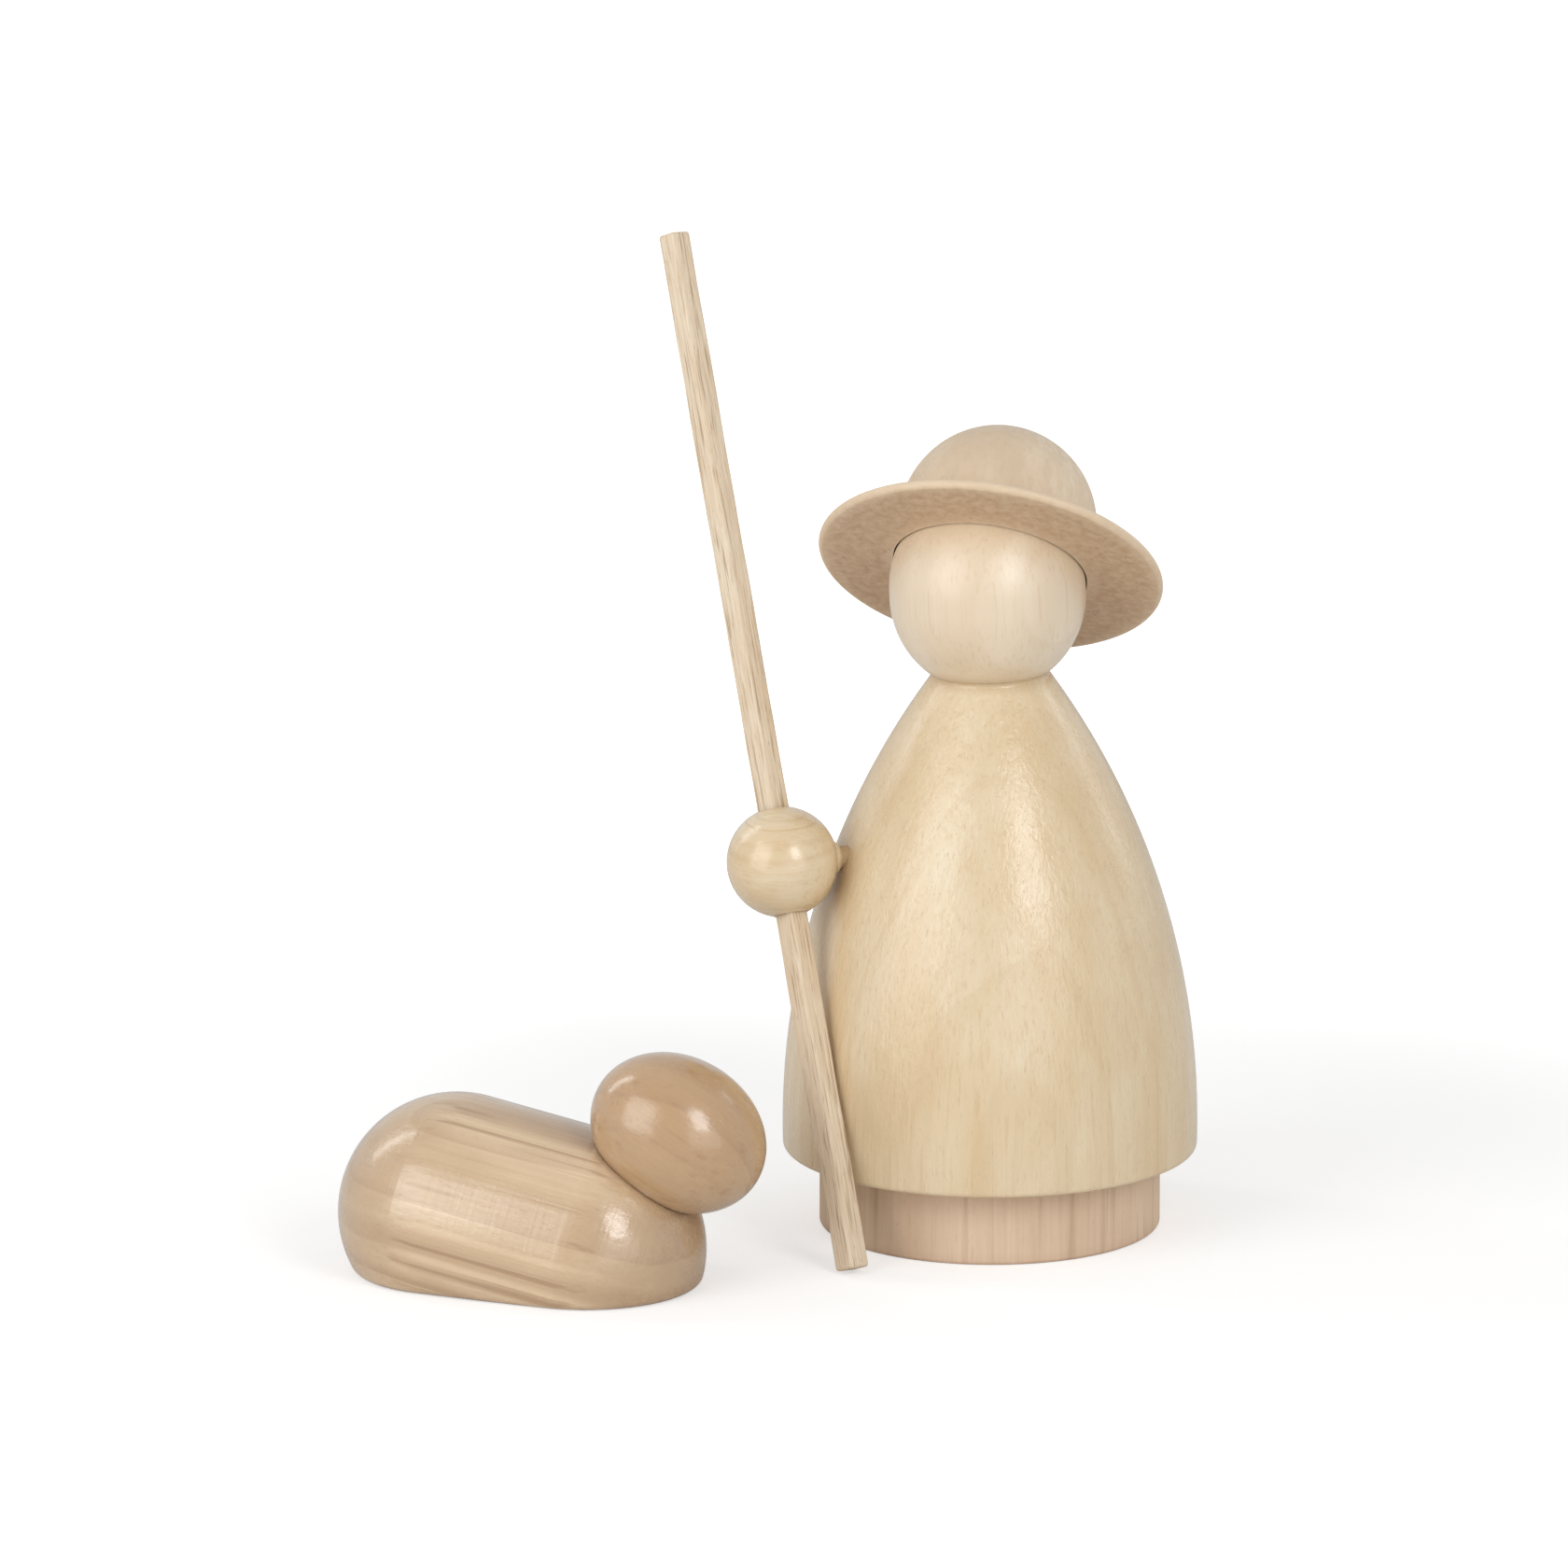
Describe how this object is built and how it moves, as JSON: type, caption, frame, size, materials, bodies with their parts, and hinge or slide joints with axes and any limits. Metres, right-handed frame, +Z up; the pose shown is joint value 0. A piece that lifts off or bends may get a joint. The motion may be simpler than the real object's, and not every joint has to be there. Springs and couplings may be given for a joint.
{
  "type": "wooden figurine",
  "caption": "Turned wooden shepherd with a tilted brimmed hat, a round plinth and a staff that slides in a drilled ball hand, with a separate lying sheep.",
  "frame": {"origin": "centre of the plinth's underside, on the table, under the shepherd's own axis", "axes": "+Z up, -Y towards the viewer and out of the figure's front, +X to the viewer's right; the staff and the sheep lie towards -X"},
  "size_m": [0.0767, 0.0493, 0.0884],
  "materials": {
    "plinth_wood": "matt clear lacquer on a pinkish brown wood",
    "pale_wood": "satin clear lacquer on a pale cream wood",
    "hat_wood": "satin clear lacquer on a greyish tan wood",
    "staff_wood": "satin, straight-grained pale stick",
    "sheep_wood": "glossy clear lacquer on a tan wood",
    "sheep_head_wood": "glossy clear lacquer on a warm brown wood"
  },
  "bodies": {
    "shepherd": {"plinth": "plinth_wood", "plinth_dowel": "pale_wood", "cloak_body": "pale_wood", "neck_dowel": "pale_wood", "head": "pale_wood", "hat": "hat_wood", "hand_bead": "pale_wood", "hand_dowel": "pale_wood"},
    "staff": {"staff": "staff_wood"},
    "sheep": {"sheep_body": "sheep_wood", "sheep_neck_dowel": "pale_wood", "sheep_head": "sheep_head_wood"}
  },
  "joints": [
    {"name": "staff_slide", "type": "slide", "parent": "shepherd", "child": "staff", "axis": [-0.1699, 0.3251, 0.9303], "range_m": [0, 0.036]},
    {"name": "sheep_place", "type": "slide", "parent": "shepherd", "child": "sheep", "axis": [-1, 0, 0], "range_m": [0, 0.03]}
  ]
}
